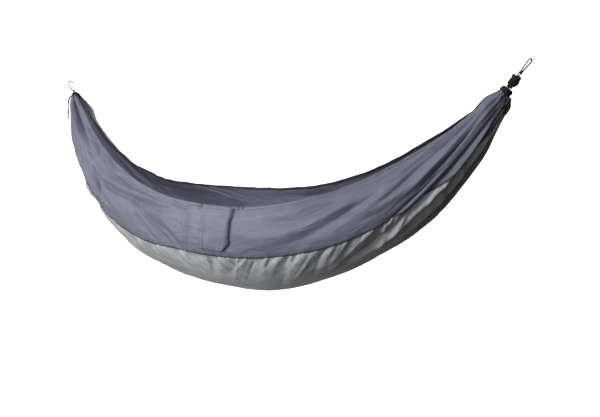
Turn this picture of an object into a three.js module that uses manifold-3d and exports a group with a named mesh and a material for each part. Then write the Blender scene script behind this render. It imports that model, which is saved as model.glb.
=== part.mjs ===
// A gathered-end camping hammock, hung by a snap hook at each end.
// Units are millimetres. +X runs from the head end to the foot end, +Y to the far side, +Z up.
// The origin is where the head hook bears on the strap that holds it.

import * as THREE from "three";
import { mergeVertices } from "three/addons/utils/BufferGeometryUtils.js";
import Module from "manifold-3d";

const wasm = await Module();
wasm.setup();

// ---------------------------------------------------------------- driving dimensions
const CHORD = 2400; // between the two gathers
const NEAR_RIM_SAG = 518;
const FAR_RIM_SAG = 502;
const NEAR_RIM_SKEW = 0.03; // above 0 shifts the lowest point towards the head
const FAR_RIM_SKEW = 0.27;
const NEAR_RIM_POWER = 2.35; // 2 is a parabola, more is flatter in the middle
const FAR_RIM_POWER = 3.4;
const BELLY_DEPTH = 467; // rim to keel, at mid length
const DEPTH_POWER = 1.09; // how fast the belly deepens from a gather
const BELLY_HALF_WIDTH = 304;
const RIM_WIDTH_SHARE = 0.855; // the rims stand closer together than the belly is wide
const RIM_HALF_WIDTH = RIM_WIDTH_SHARE * BELLY_HALF_WIDTH;
const BELLY_WIDTH_POWER = 1.22; // how fast the cloth widens from a gather
const RIM_WIDTH_POWER = 2.15;
const SEAM_DEPTH_SHARE = 0.5; // seam height between rim and keel
const SEAM_END_SHARE = 0.37; // added to that share at the gathers
const HEAD_TILT = 15; // degrees, how far the belly swings out under the head gather
const FOOT_TILT = 12;
const TILT_POWER = 1.5; // how soon that swing dies away from a gather
const CLOTH = 1.6; // cloth thickness, kept stiff enough to be one solid
const HEM_DIAMETER = 5;

const BUNDLE_HALF_WIDTH = 20; // the pleated bundle at a gather
const BUNDLE_DEPTH = 32;
const BUNDLE_RIM_SHARE = 0.8; // rim half width over bundle half width
const PULL_LINE_SHARE = 0.47; // how far down the bundle the pull line passes
const BUNDLE_LENGTH = 0.13; // share of the half chord over which the bundle turns square to the pull
const CHANNEL_RADIUS = 12.5; // the cloth casing that the rope is pulled through
const CHANNEL_INSIDE = 16; // length of casing inside the bundle
const CHANNEL_TIP_SHARE = 0.7; // its radius at the inner tip

const ROPE_DIAMETER = 5;
const EYE_REACH = 7; // rope showing between the knot and the hook
const WRAP_RADIUS = 23;
const WRAP_ROUNDING = 3; // how much thinner the binding is at its two ends
const KNOT_RADIUS = 18;
const KNOT_ROUNDING = 4;

const POCKET_WIDTH = 172;
const POCKET_HEIGHT = 203;
const POCKET_DEPTH = 15;
const POCKET_CENTRE_X = 1210; // from the head gather
const POCKET_EDGE = 9; // width of the sewn-down border
const POCKET_TOP_DROP = 7; // mouth below the rim

const HOOK_WIRE = 7;
const HOOK_LENGTH = 70;
const HOOK_WIDE_RADIUS = 13.5; // to the wire's centre, at the strap end
const HOOK_NARROW_RADIUS = 7.5; // to the wire's centre, at the rope end
const TONGUE_THICKNESS = 3;
const GATE_PIVOT = 6; // up the gate leg from its tangent point
const FORK_REACH = 3; // gate's fork past the pivot
const TONGUE_TIP = 3.2; // past the pin
const TONGUE_ROOT = 5; // before the pin
const NOSE_LENGTH = 6;
const NOSE_SETBACK = 2.5; // nose shoulder below the wide end's tangent point
const PIN_DIAMETER = 2.2;
const PIN_PROUD = 0.3; // at each side
const BORE_DIAMETER = 3.6;
const BORE_LENGTH = 15;
const PLUNGER_LENGTH = 4;
const PLUNGER_NOSE = 1; // rounded part
const PLUNGER_PROUD = 0.2; // past the end of the fork's slot
const BORE_OVERRUN = 0.5; // bore into the fork's slot
const SPRING_TURNS = 6;
const SPRING_WIRE = 0.55;

const TAIL_DIAMETER = 4;

// The two ends are tied alike, but the foot rope is wrapped longer.
const ENDS = [
  { name: "head", side: -1, pull: 62, wrap: 11, neck: 0, knot: 12, knotTurns: 2, spin: 43 },
  { name: "foot", side: 1, pull: 54, wrap: 24, neck: 9, knot: 50, knotTurns: 7, spin: 72 },
];

// ---------------------------------------------------------------- clearances
const GAP = 0.3; // between pieces that touch
const EYE_GAP = 0.5; // rope over the hook's wire
const LEG_GAP = 0.6; // from the pull line to each leg of the eye
const HEM_GAP = 0.5; // between a rim and its rolled hem
const POCKET_GAP = 0.7; // between the pouch border and the panel under it
const PIN_CLEARANCE = 0.12; // radial, pin in its holes
const SLIDE_CLEARANCE = 0.3; // radial, plunger and spring in the gate's bore
const SLOT_CLEARANCE = 0.3; // each side of a tongue
const SWING_CLEARANCE = 0.6; // where a gate's corners turn past a shoulder

// ---------------------------------------------------------------- mesh fineness
const CLOTH_STEPS_LONG = 44;
const SIDE_STEPS = 5;
const CENTRE_STEPS = 11;
const ROUND = 12;
const ROPE_ROUND = 20;
const EYE_SIDES = 10;
const EYE_STEPS = 40;
const HEM_SIDES = 8;
const HOOK_STEPS = 64;
const CUTTER_WIDTH = 12; // wider than the hook's wire

const DEG = Math.PI / 180;

// ---------------------------------------------------------------- materials
function material(color, roughness, metalness) {
  return new THREE.MeshStandardMaterial({ color, roughness, metalness, side: THREE.DoubleSide });
}
const SLATE = material(0x7f8096, 0.55, 0);
const SILVER = material(0xb9bec9, 0.42, 0);
const ROPE = material(0x131316, 0.8, 0);
const STEEL = material(0xb8babd, 0.25, 1);

const hammock = new THREE.Group();

function addPiece(parent, name, geometry, finish) {
  const mesh = new THREE.Mesh(geometry, finish);
  mesh.name = name;
  parent.add(mesh);
  return mesh;
}

// ---------------------------------------------------------------- joining and cutting
function toManifold(geometry) {
  const bare = geometry.clone();
  bare.deleteAttribute("normal");
  bare.deleteAttribute("uv");
  const merged = mergeVertices(bare, 1e-4);
  return new wasm.Manifold(
    new wasm.Mesh({
      numProp: 3,
      vertProperties: Float32Array.from(merged.attributes.position.array),
      triVerts: Uint32Array.from(merged.index.array),
    }),
  );
}

function fromManifold(solid) {
  const mesh = solid.getMesh();
  const geometry = new THREE.BufferGeometry();
  geometry.setAttribute("position", new THREE.BufferAttribute(Float32Array.from(mesh.vertProperties), 3));
  geometry.setIndex(new THREE.BufferAttribute(Uint32Array.from(mesh.triVerts), 1));
  return geometry;
}

function cut(geometry, tools) {
  let solid = toManifold(geometry);
  for (const tool of tools) {
    solid = solid.subtract(toManifold(tool));
  }
  return fromManifold(solid);
}

function tubeAlong(path, diameter, sides, steps) {
  const section = new THREE.Shape();
  for (let i = 0; i < sides; i += 1) {
    const angle = (2 * Math.PI * i) / sides;
    const x = (diameter / 2) * Math.cos(angle);
    const y = (diameter / 2) * Math.sin(angle);
    if (i === 0) section.moveTo(x, y);
    else section.lineTo(x, y);
  }
  section.closePath();
  return new THREE.ExtrudeGeometry(section, { steps, bevelEnabled: false, extrudePath: path });
}

// A binding of rope turns around an axis: a ring with one round ridge for each turn.
// Each turn has its place along the pitch and its depth below the crown, in rope diameters.
const TURN_PROFILE = [[0.06, 0.25], [0.3, 0], [0.7, 0], [0.94, 0.25]];

function ropeBinding(inner, outer, start, length, turns, bulge) {
  const pitch = length / turns;
  const profile = [new THREE.Vector2(inner, start)];
  for (let turn = 0; turn < turns; turn += 1) {
    const middle = (turn + 0.5) / turns;
    const ridge = outer - bulge * (2 * middle - 1) ** 2;
    for (const [step, crown] of TURN_PROFILE) {
      profile.push(new THREE.Vector2(ridge - crown * ROPE_DIAMETER, start + pitch * (turn + step)));
    }
  }
  profile.push(new THREE.Vector2(inner, start + length));
  profile.push(profile[0].clone());
  const ring = new THREE.LatheGeometry(profile, ROPE_ROUND);
  ring.rotateX(Math.PI / 2);
  ring.scale(1, -1, 1);
  return flipFaces(ring);
}

// Mirroring a geometry turns its faces inside out, so their order is reversed again.
function flipFaces(geometry) {
  const index = geometry.index.array;
  for (let i = 0; i < index.length; i += 3) {
    const first = index[i];
    index[i] = index[i + 1];
    index[i + 1] = first;
  }
  return geometry;
}

// ---------------------------------------------------------------- the hung cloth
// Angle theta runs from 0 at the head gather to pi at the foot gather. Angle phi runs round
// the section: 0 at the keel, negative to the near rim and positive to the far rim.

function skewed(t, skew) {
  return t + skew * (1 - t * t);
}

function rimSag(t, far) {
  if (far) {
    return FAR_RIM_SAG * (1 - Math.abs(skewed(t, FAR_RIM_SKEW)) ** FAR_RIM_POWER);
  }
  return NEAR_RIM_SAG * (1 - Math.abs(skewed(t, NEAR_RIM_SKEW)) ** NEAR_RIM_POWER);
}

// Tilt of the section's plane: square to the pull at a gather, then following the belly.
function sectionTilt(theta) {
  const t = -Math.cos(theta);
  const end = t < 0 ? ENDS[0] : ENDS[1];
  const belly = (t < 0 ? HEAD_TILT : FOOT_TILT) * Math.abs(t) ** TILT_POWER;
  const bundle = Math.exp(-((Math.sin(theta) / BUNDLE_LENGTH) ** 2));
  return end.side * -1 * (belly + (end.pull - belly) * bundle) * DEG;
}

function sectionAt(theta) {
  const t = -Math.cos(theta);
  const s = Math.sin(theta);
  const belly = BUNDLE_HALF_WIDTH + (BELLY_HALF_WIDTH - BUNDLE_HALF_WIDTH) * s ** BELLY_WIDTH_POWER;
  const bundleRim = BUNDLE_HALF_WIDTH * BUNDLE_RIM_SHARE;
  const rim = bundleRim + (RIM_HALF_WIDTH - bundleRim) * s ** RIM_WIDTH_POWER;
  const rimAngle = Math.PI - Math.asin(rim / belly);
  const depth = BUNDLE_DEPTH + (BELLY_DEPTH - BUNDLE_DEPTH) * s ** DEPTH_POWER;
  const seamShare = SEAM_DEPTH_SHARE + SEAM_END_SHARE * t * t;
  const seamAngle = Math.acos(1 - (1 - seamShare) * (1 - Math.cos(rimAngle)));
  return {
    x: (CHORD / 2) * (1 + t),
    nearSag: rimSag(t, false),
    farSag: rimSag(t, true),
    belly,
    rimAngle,
    depth,
    seamAngle,
    tilt: sectionTilt(theta),
  };
}

function clothPoint(theta, phi) {
  const s = sectionAt(theta);
  const below = 1 - (1 - Math.cos(phi)) / (1 - Math.cos(s.rimAngle));
  const middle = (s.nearSag + s.farSag) / 2;
  const side = phi < 0 ? s.nearSag : s.farSag;
  const sag = middle + (side - middle) * (1 - below);
  const drop = s.depth * below;
  return new THREE.Vector3(
    s.x - drop * Math.sin(s.tilt),
    s.belly * Math.sin(phi),
    -sag - drop * Math.cos(s.tilt),
  );
}

// Outward normal of the cloth, from two short steps on its surface.
function clothNormal(theta, phi) {
  const step = 1e-4;
  const inTheta = Math.min(Math.max(theta, step), Math.PI - step);
  const along = clothPoint(inTheta + step, phi).sub(clothPoint(inTheta - step, phi));
  const round = clothPoint(inTheta, phi + step).sub(clothPoint(inTheta, phi - step));
  return round.cross(along).normalize();
}

// A sheet with an even thickness over surface(a, b), which gives its middle point and normal.
function clothSheet(surface, stepsA, stepsB, thickness) {
  const positions = [];
  const row = stepsB + 1;
  const layer = (stepsA + 1) * row;
  for (const sign of [0.5, -0.5]) {
    for (let i = 0; i <= stepsA; i += 1) {
      for (let j = 0; j <= stepsB; j += 1) {
        const { point, normal } = surface(i / stepsA, j / stepsB);
        point.addScaledVector(normal, sign * thickness);
        positions.push(point.x, point.y, point.z);
      }
    }
  }
  const index = [];
  const quad = (a, b, c, d) => index.push(a, b, c, a, c, d);
  for (let i = 0; i < stepsA; i += 1) {
    for (let j = 0; j < stepsB; j += 1) {
      const a = i * row + j;
      quad(a, a + 1, a + row + 1, a + row);
      quad(layer + a, layer + a + row, layer + a + row + 1, layer + a + 1);
    }
  }
  for (let i = 0; i < stepsA; i += 1) {
    const first = i * row;
    const last = i * row + stepsB;
    quad(first, first + row, layer + first + row, layer + first);
    quad(last, layer + last, layer + last + row, last + row);
  }
  for (let j = 0; j < stepsB; j += 1) {
    const end = stepsA * row + j;
    quad(j, layer + j, layer + j + 1, j + 1);
    quad(end, end + 1, layer + end + 1, layer + end);
  }
  const geometry = new THREE.BufferGeometry();
  geometry.setAttribute("position", new THREE.Float32BufferAttribute(positions, 3));
  geometry.setIndex(index);
  return geometry;
}

// Angle on the section that half a seam gap takes up.
function halfGapAngle(theta, phi) {
  const step = 1e-4;
  const arc = clothPoint(theta, phi + step).distanceTo(clothPoint(theta, phi - step)) / (2 * step);
  return GAP / 2 / arc;
}

function panel(fromAngle, toAngle, steps) {
  return clothSheet(
    (a, b) => {
      const theta = Math.PI * a;
      const from = fromAngle(theta);
      const phi = from + (toAngle(theta) - from) * b;
      return { point: clothPoint(theta, phi), normal: clothNormal(theta, phi) };
    },
    CLOTH_STEPS_LONG,
    steps,
    CLOTH,
  );
}

const nearRim = (theta) => -sectionAt(theta).rimAngle;
const farRim = (theta) => sectionAt(theta).rimAngle;
const seam = (theta, side, inward) => {
  const angle = sectionAt(theta).seamAngle;
  return side * (angle - inward * halfGapAngle(theta, angle));
};

addPiece(hammock, "near_side_panel", panel(nearRim, (t) => seam(t, -1, -1), SIDE_STEPS), SLATE);
addPiece(hammock, "centre_panel", panel((t) => seam(t, -1, 1), (t) => seam(t, 1, 1), CENTRE_STEPS), SILVER);
addPiece(hammock, "far_side_panel", panel((t) => seam(t, 1, -1), farRim, SIDE_STEPS), SLATE);

// ---------------------------------------------------------------- rolled hems on the two rims
// A hem steps at the same stations as its panel, so that the two stay level between stations.
const HEM_INSET = 1; // stations left bare beside each rope binding
const HEM_STEPS = CLOTH_STEPS_LONG - 2 * HEM_INSET;

class RimCurve extends THREE.Curve {
  constructor(rimAngle) {
    super();
    this.rimAngle = rimAngle;
  }

  getPointAt(share) {
    return this.getPoint(share);
  }

  getTangentAt(share) {
    return this.getTangent(share);
  }

  getPoint(share) {
    const theta = (Math.PI * (HEM_INSET + HEM_STEPS * share)) / CLOTH_STEPS_LONG;
    const phi = this.rimAngle(theta);
    const step = 1e-3;
    const edge = clothPoint(theta, phi);
    const along = clothPoint(theta + step, this.rimAngle(theta + step)).sub(edge).normalize();
    const outward = edge.clone().sub(clothPoint(theta, phi * (1 - step)));
    outward.addScaledVector(along, -outward.dot(along)).normalize();
    return edge.addScaledVector(outward, HEM_DIAMETER / 2 + HEM_GAP);
  }
}

for (const [name, rim] of [["near_rim_hem", nearRim], ["far_rim_hem", farRim]]) {
  addPiece(hammock, name, tubeAlong(new RimCurve(rim), HEM_DIAMETER, HEM_SIDES, HEM_STEPS), SLATE);
}

// ---------------------------------------------------------------- pocket on the near side panel
// The pouch stands off the panel by its depth and is sewn down on its sides and bottom.
// Its mouth is open at the top, just under the rim.
const POCKET_BACK_GAP = POCKET_GAP + CLOTH / 2;

function thetaAt(x) {
  return Math.acos(1 - (2 * x) / CHORD);
}

function downPanel(theta, distance) {
  const rim = nearRim(theta);
  const step = 0.02;
  let phi = rim;
  let left = distance;
  while (left > 0) {
    const piece = clothPoint(theta, phi).distanceTo(clothPoint(theta, phi + step));
    phi += step * Math.min(1, left / piece);
    left -= piece;
  }
  return phi;
}

function pocketSurface(standOff) {
  return (a, b) => {
    const theta = thetaAt(POCKET_CENTRE_X + (a - 0.5) * POCKET_WIDTH);
    const phi = downPanel(theta, POCKET_TOP_DROP + b * POCKET_HEIGHT);
    const normal = clothNormal(theta, phi);
    const point = clothPoint(theta, phi).addScaledVector(normal, standOff(a, b));
    return { point, normal };
  };
}

function pocketStandOff(a, b) {
  const fromSide = Math.min(a, 1 - a) * POCKET_WIDTH;
  const fromBottom = (1 - b) * POCKET_HEIGHT;
  const rise = Math.min(1, Math.min(fromSide, fromBottom) / POCKET_EDGE);
  return POCKET_BACK_GAP + CLOTH / 2 + (POCKET_DEPTH - CLOTH) * rise;
}

// Grid lines of the pouch fall on its border, so that the border keeps its width.
function borderGrid(share, edgeShare, atStart) {
  const inner = 6;
  const lines = atStart ? [0] : [];
  for (let i = 0; i <= inner; i += 1) {
    const start = atStart ? edgeShare : 0;
    lines.push(start + ((1 - edgeShare - start) * i) / inner);
  }
  lines.push(1);
  return lines[Math.round(share * (lines.length - 1))];
}

const pouch = clothSheet(
  (a, b) => {
    const across = borderGrid(a, POCKET_EDGE / POCKET_WIDTH, true);
    const down = borderGrid(b, POCKET_EDGE / POCKET_HEIGHT, false);
    return pocketSurface(pocketStandOff)(across, down);
  },
  8,
  7,
  CLOTH,
);
addPiece(hammock, "pocket_pouch", pouch, SLATE);

class PocketMouthCurve extends THREE.Curve {
  getPoint(share) {
    const across = (POCKET_EDGE + (POCKET_WIDTH - 2 * POCKET_EDGE) * share) / POCKET_WIDTH;
    const { point } = pocketSurface(pocketStandOff)(across, 0);
    const below = pocketSurface(pocketStandOff)(across, 0.02).point;
    const upward = point.clone().sub(below).normalize();
    return point.addScaledVector(upward, HEM_DIAMETER / 2 + GAP);
  }
}
addPiece(hammock, "pocket_mouth_hem", tubeAlong(new PocketMouthCurve(), HEM_DIAMETER, HEM_SIDES, 10), SLATE);

// ---------------------------------------------------------------- rope and hook at each end
// Everything here stands on the pull line: local +Z points from the cloth along the pull.

class PlaneArc extends THREE.Curve {
  constructor(centreX, centreZ, radius, fromAngle, toAngle) {
    super();
    Object.assign(this, { centreX, centreZ, radius, fromAngle, toAngle });
  }

  getPoint(share) {
    const angle = this.fromAngle + (this.toAngle - this.fromAngle) * share;
    return new THREE.Vector3(
      this.centreX + this.radius * Math.cos(angle),
      0,
      this.centreZ + this.radius * Math.sin(angle),
    );
  }
}

const HOOK_CENTRES = HOOK_LENGTH - HOOK_WIRE - HOOK_WIDE_RADIUS - HOOK_NARROW_RADIUS;
const LEG_LEAN = Math.asin((HOOK_WIDE_RADIUS - HOOK_NARROW_RADIUS) / HOOK_CENTRES);
const LEG_LENGTH = HOOK_CENTRES * Math.cos(LEG_LEAN);
const ROPE_OVER_WIRE = HOOK_WIRE / 2 + ROPE_DIAMETER / 2 + EYE_GAP;

// Hook frame: the narrow end's wire centre is at the origin and the strap end is along +Z.
// The gate leg is on the -X side. A place on that leg is a distance up from its tangent point.
function onGateLeg(distance) {
  return new THREE.Vector3(
    -HOOK_NARROW_RADIUS * Math.cos(LEG_LEAN) - distance * Math.sin(LEG_LEAN),
    0,
    HOOK_NARROW_RADIUS * (1 - Math.sin(LEG_LEAN)) + distance * Math.cos(LEG_LEAN),
  );
}

function legFrame(distance) {
  const frame = new THREE.Matrix4().makeRotationY(-LEG_LEAN);
  return frame.setPosition(onGateLeg(distance));
}

const GATE_FOOT = GATE_PIVOT - FORK_REACH;
const NOSE_SHOULDER = LEG_LENGTH - NOSE_SETBACK;
const GATE_TOP = NOSE_SHOULDER - SWING_CLEARANCE;
const FORK_SLOT_END = GATE_PIVOT + Math.hypot(TONGUE_TIP, HOOK_WIRE / 2) + SLOT_CLEARANCE;
const SLOT_WIDTH = TONGUE_THICKNESS + 2 * SLOT_CLEARANCE;

function boxOnLeg(from, to, thickness, offsetY) {
  const box = new THREE.BoxGeometry(CUTTER_WIDTH, thickness, to - from);
  box.translate(0, offsetY, 0);
  box.applyMatrix4(legFrame((from + to) / 2));
  return box;
}

function pinHole() {
  const hole = new THREE.CylinderGeometry(
    PIN_DIAMETER / 2 + PIN_CLEARANCE,
    PIN_DIAMETER / 2 + PIN_CLEARANCE,
    2 * HOOK_WIRE,
    ROUND,
  );
  const place = onGateLeg(GATE_PIVOT);
  hole.translate(place.x, 0, place.z);
  return hole;
}

// The bent wire: gate pivot, narrow end, back leg, wide end, nose.
function hookBody() {
  const lowAngle = Math.PI + LEG_LEAN;
  const wire = new THREE.CurvePath();
  const lowZ = HOOK_NARROW_RADIUS;
  const highZ = HOOK_NARROW_RADIUS + HOOK_CENTRES;
  const backLow = new THREE.Vector3(
    HOOK_NARROW_RADIUS * Math.cos(LEG_LEAN),
    0,
    lowZ - HOOK_NARROW_RADIUS * Math.sin(LEG_LEAN),
  );
  const backHigh = new THREE.Vector3(
    HOOK_WIDE_RADIUS * Math.cos(LEG_LEAN),
    0,
    highZ - HOOK_WIDE_RADIUS * Math.sin(LEG_LEAN),
  );
  wire.add(new THREE.LineCurve3(onGateLeg(GATE_PIVOT + TONGUE_TIP), onGateLeg(0)));
  wire.add(new PlaneArc(0, lowZ, HOOK_NARROW_RADIUS, lowAngle, 2 * Math.PI - LEG_LEAN));
  wire.add(new THREE.LineCurve3(backLow, backHigh));
  wire.add(new PlaneArc(0, highZ, HOOK_WIDE_RADIUS, -LEG_LEAN, lowAngle));
  wire.add(new THREE.LineCurve3(onGateLeg(LEG_LENGTH), onGateLeg(NOSE_SHOULDER - NOSE_LENGTH)));
  const solid = tubeAlong(wire, HOOK_WIRE, ROUND, HOOK_STEPS);
  const offset = TONGUE_THICKNESS / 2 + HOOK_WIRE / 2;
  const past = 1;
  const trims = [];
  for (const side of [-1, 1]) {
    trims.push(boxOnLeg(GATE_PIVOT - TONGUE_ROOT, GATE_PIVOT + TONGUE_TIP + past, HOOK_WIRE, side * offset));
    trims.push(boxOnLeg(NOSE_SHOULDER - NOSE_LENGTH - past, NOSE_SHOULDER, HOOK_WIRE, side * offset));
  }
  return cut(solid, [...trims, pinHole()]);
}

function gateBody() {
  const length = GATE_TOP - GATE_FOOT;
  const rod = new THREE.CylinderGeometry(HOOK_WIRE / 2, HOOK_WIRE / 2, length, ROUND);
  rod.rotateX(Math.PI / 2);
  rod.applyMatrix4(legFrame((GATE_FOOT + GATE_TOP) / 2));
  const bore = new THREE.CylinderGeometry(BORE_DIAMETER / 2, BORE_DIAMETER / 2, BORE_LENGTH, ROUND);
  bore.rotateX(Math.PI / 2);
  bore.applyMatrix4(legFrame(FORK_SLOT_END - BORE_OVERRUN + BORE_LENGTH / 2));
  const noseRoom = NOSE_SHOULDER - NOSE_LENGTH - SWING_CLEARANCE;
  return cut(rod, [
    boxOnLeg(GATE_FOOT - 1, FORK_SLOT_END, SLOT_WIDTH, 0),
    boxOnLeg(noseRoom, GATE_TOP + 1, SLOT_WIDTH, 0),
    bore,
    pinHole(),
  ]);
}

class Helix extends THREE.Curve {
  constructor(radius, start, length, turns) {
    super();
    Object.assign(this, { radius, start, length, turns });
  }

  getPoint(share) {
    const angle = 2 * Math.PI * this.turns * share;
    return new THREE.Vector3(
      this.radius * Math.cos(angle),
      this.radius * Math.sin(angle),
      this.start + this.length * share,
    );
  }
}

function addHook(parent, end) {
  addPiece(parent, `${end.name}_hook_body`, hookBody(), STEEL);
  addPiece(parent, `${end.name}_hook_gate`, gateBody(), STEEL);

  const pin = new THREE.CylinderGeometry(PIN_DIAMETER / 2, PIN_DIAMETER / 2, HOOK_WIRE + 2 * PIN_PROUD, ROUND);
  const place = onGateLeg(GATE_PIVOT);
  pin.translate(place.x, 0, place.z);
  addPiece(parent, `${end.name}_gate_pin`, pin, STEEL);

  const plungerRadius = BORE_DIAMETER / 2 - SLIDE_CLEARANCE;
  const plungerTip = FORK_SLOT_END - PLUNGER_PROUD;
  const plunger = new THREE.LatheGeometry(
    [
      new THREE.Vector2(0, 0),
      new THREE.Vector2(plungerRadius * 0.6, 0.2),
      new THREE.Vector2(plungerRadius, PLUNGER_NOSE),
      new THREE.Vector2(plungerRadius, PLUNGER_LENGTH),
      new THREE.Vector2(0, PLUNGER_LENGTH),
    ],
    ROUND,
  );
  plunger.rotateX(Math.PI / 2);
  plunger.applyMatrix4(legFrame(plungerTip));
  addPiece(parent, `${end.name}_gate_plunger`, plunger, STEEL);

  const springStart = PLUNGER_LENGTH + GAP + SPRING_WIRE / 2;
  const boreEnd = FORK_SLOT_END - BORE_OVERRUN + BORE_LENGTH - plungerTip;
  const springLength = boreEnd - GAP - SPRING_WIRE / 2 - springStart;
  const coil = new Helix(plungerRadius - SPRING_WIRE / 2, springStart, springLength, SPRING_TURNS);
  const spring = tubeAlong(coil, SPRING_WIRE, 6, SPRING_TURNS * 8);
  spring.applyMatrix4(legFrame(plungerTip));
  addPiece(parent, `${end.name}_gate_spring`, spring, STEEL);
}

// The rope loop that holds the hook: two legs up through the knot and over the hook's wire.
function ropeEye(legStart, wireZ) {
  const legSpread = ROPE_DIAMETER / 2 + LEG_GAP;
  const leg = (side) => [
    new THREE.Vector3(0, side * legSpread, legStart),
    new THREE.Vector3(0, side * legSpread, (legStart + wireZ - EYE_REACH - HOOK_WIRE) / 2),
    new THREE.Vector3(0, side * legSpread, wireZ - EYE_REACH - HOOK_WIRE / 2),
  ];
  const bend = [];
  const bendSteps = 6;
  for (let i = 0; i <= bendSteps; i += 1) {
    const angle = (Math.PI * i) / bendSteps;
    const across = ROPE_OVER_WIRE * Math.cos(angle);
    bend.push(new THREE.Vector3(0, across, wireZ + ROPE_OVER_WIRE * Math.sin(angle)));
  }
  const points = [...leg(1), ...bend, ...leg(-1).reverse()];
  return tubeAlong(new THREE.CatmullRomCurve3(points, false, "centripetal"), ROPE_DIAMETER, EYE_SIDES, EYE_STEPS);
}

function gatherFrame(end) {
  const frame = new THREE.Group();
  const tilt = sectionTilt(end.side < 0 ? 0 : Math.PI);
  const centreDrop = BUNDLE_DEPTH * PULL_LINE_SHARE;
  frame.position.set(
    end.side < 0 ? -centreDrop * Math.sin(tilt) : CHORD - centreDrop * Math.sin(tilt),
    0,
    -centreDrop * Math.cos(tilt),
  );
  frame.rotation.y = end.side * (90 - end.pull) * DEG;
  return frame;
}

function addEnd(end) {
  const frame = gatherFrame(end);
  hammock.add(frame);
  const channelTop = end.wrap + GAP;
  const channel = new THREE.LatheGeometry(
    [
      new THREE.Vector2(0, -CHANNEL_INSIDE),
      new THREE.Vector2(CHANNEL_RADIUS * CHANNEL_TIP_SHARE, -CHANNEL_INSIDE),
      new THREE.Vector2(CHANNEL_RADIUS, -CHANNEL_INSIDE / 2),
      new THREE.Vector2(CHANNEL_RADIUS, channelTop),
      new THREE.Vector2(0, channelTop),
    ],
    16,
  );
  channel.rotateX(Math.PI / 2);
  addPiece(frame, `${end.name}_end_channel`, channel, SLATE);

  const wrapTurns = Math.max(2, Math.round(end.wrap / ROPE_DIAMETER));
  const wrapStart = CLOTH / 2 + GAP;
  const wrapLength = end.wrap - CLOTH / 2;
  const wrapBore = CHANNEL_RADIUS + GAP;
  const wraps = ropeBinding(wrapBore, WRAP_RADIUS, wrapStart, wrapLength, wrapTurns, WRAP_ROUNDING);
  addPiece(frame, `${end.name}_rope_wraps`, wraps, ROPE);

  const knotStart = channelTop + GAP + end.neck;
  const knotBore = ROPE_DIAMETER + LEG_GAP + GAP;
  const knot = ropeBinding(knotBore, KNOT_RADIUS, knotStart, end.knot, end.knotTurns, KNOT_ROUNDING);
  addPiece(frame, `${end.name}_rope_knot`, knot, ROPE);

  const hookFrame = new THREE.Group();
  hookFrame.rotation.z = end.spin * DEG;
  frame.add(hookFrame);
  const wireZ = knotStart + end.knot + EYE_REACH + HOOK_WIRE / 2;
  addPiece(hookFrame, `${end.name}_rope_eye`, ropeEye(channelTop + GAP, wireZ), ROPE);

  const hook = new THREE.Group();
  hook.position.z = wireZ;
  hookFrame.add(hook);
  addHook(hook, end);
  end.bearing = new THREE.Vector3(0, 0, HOOK_LENGTH - 1.5 * HOOK_WIRE);
  end.hookGroup = hook;
}

for (const end of ENDS) {
  addEnd(end);
}

// ---------------------------------------------------------------- loose rope tail at the head
// A loop of the tying cord that hangs beside the gathered cloth. Both strands start under the
// rope binding. Places are from the head gather.
const TAIL_ROUTE = [
  [-32.2, -13.7, -10.3],
  [-35.4, -16.3, -12],
  [-41, -20, -17],
  [-46, -22, -27],
  [-50, -24, -41],
  [-53, -25, -57],
  [-56, -26, -74],
  [-58, -27, -91],
  [-59, -28, -107],
  [-59, -29, -121],
  [-56, -31, -133],
  [-49, -33, -138],
  [-43, -35, -131],
  [-41, -36, -119],
  [-41, -37, -105],
  [-41, -37, -90],
  [-41, -37, -75],
  [-41, -37, -60],
  [-40, -37, -45],
  [-38, -36, -31],
  [-36, -34, -20],
  [-32, -30, -12.5],
  [-28.4, -23.8, -8.4],
  [-26.2, -19.7, -7.1],
];
const tail = new THREE.CatmullRomCurve3(
  TAIL_ROUTE.map(([x, y, z]) => new THREE.Vector3(x, y, z)),
  false,
  "centripetal",
);
addPiece(hammock, "head_rope_tail", tubeAlong(tail, TAIL_DIAMETER, HEM_SIDES, EYE_STEPS), ROPE);

// ---------------------------------------------------------------- origin at the head hook's bearing point
hammock.updateMatrixWorld(true);
const bearing = ENDS[0].hookGroup.localToWorld(ENDS[0].bearing.clone());
hammock.position.sub(bearing);
hammock.updateMatrixWorld(true);

export default hammock;
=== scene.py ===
"""Gathered-end camping hammock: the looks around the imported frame. Metres, the frame of the CAD."""
import math
from functools import partial

import bpy
import numpy as np
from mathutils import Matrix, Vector


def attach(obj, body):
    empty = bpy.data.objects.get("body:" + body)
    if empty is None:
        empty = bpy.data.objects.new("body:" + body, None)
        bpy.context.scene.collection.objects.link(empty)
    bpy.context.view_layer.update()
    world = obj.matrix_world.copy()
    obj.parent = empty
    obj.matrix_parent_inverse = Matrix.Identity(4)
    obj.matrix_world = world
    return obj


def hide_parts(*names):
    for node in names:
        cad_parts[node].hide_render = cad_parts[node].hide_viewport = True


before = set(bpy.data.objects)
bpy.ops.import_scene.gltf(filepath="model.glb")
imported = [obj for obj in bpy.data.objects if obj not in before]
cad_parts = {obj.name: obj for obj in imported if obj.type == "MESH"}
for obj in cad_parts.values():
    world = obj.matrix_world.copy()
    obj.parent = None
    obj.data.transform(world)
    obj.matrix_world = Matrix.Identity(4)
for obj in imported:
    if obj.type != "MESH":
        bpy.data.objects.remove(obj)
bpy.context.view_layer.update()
BODY = "cloth_and_ropes"
DEG = math.pi / 180

# ------------------------------------------------------------------ camera
HEAD_GATHER = np.array([0.057222, 0.0, -0.075583])  # the head gather in the part's frame
CAMERA_PLACE = HEAD_GATHER + np.array([2.8993, -2.4567, -0.0461])
CAMERA_YAW = 0.5184
CAMERA_PITCH = -0.1741

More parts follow.
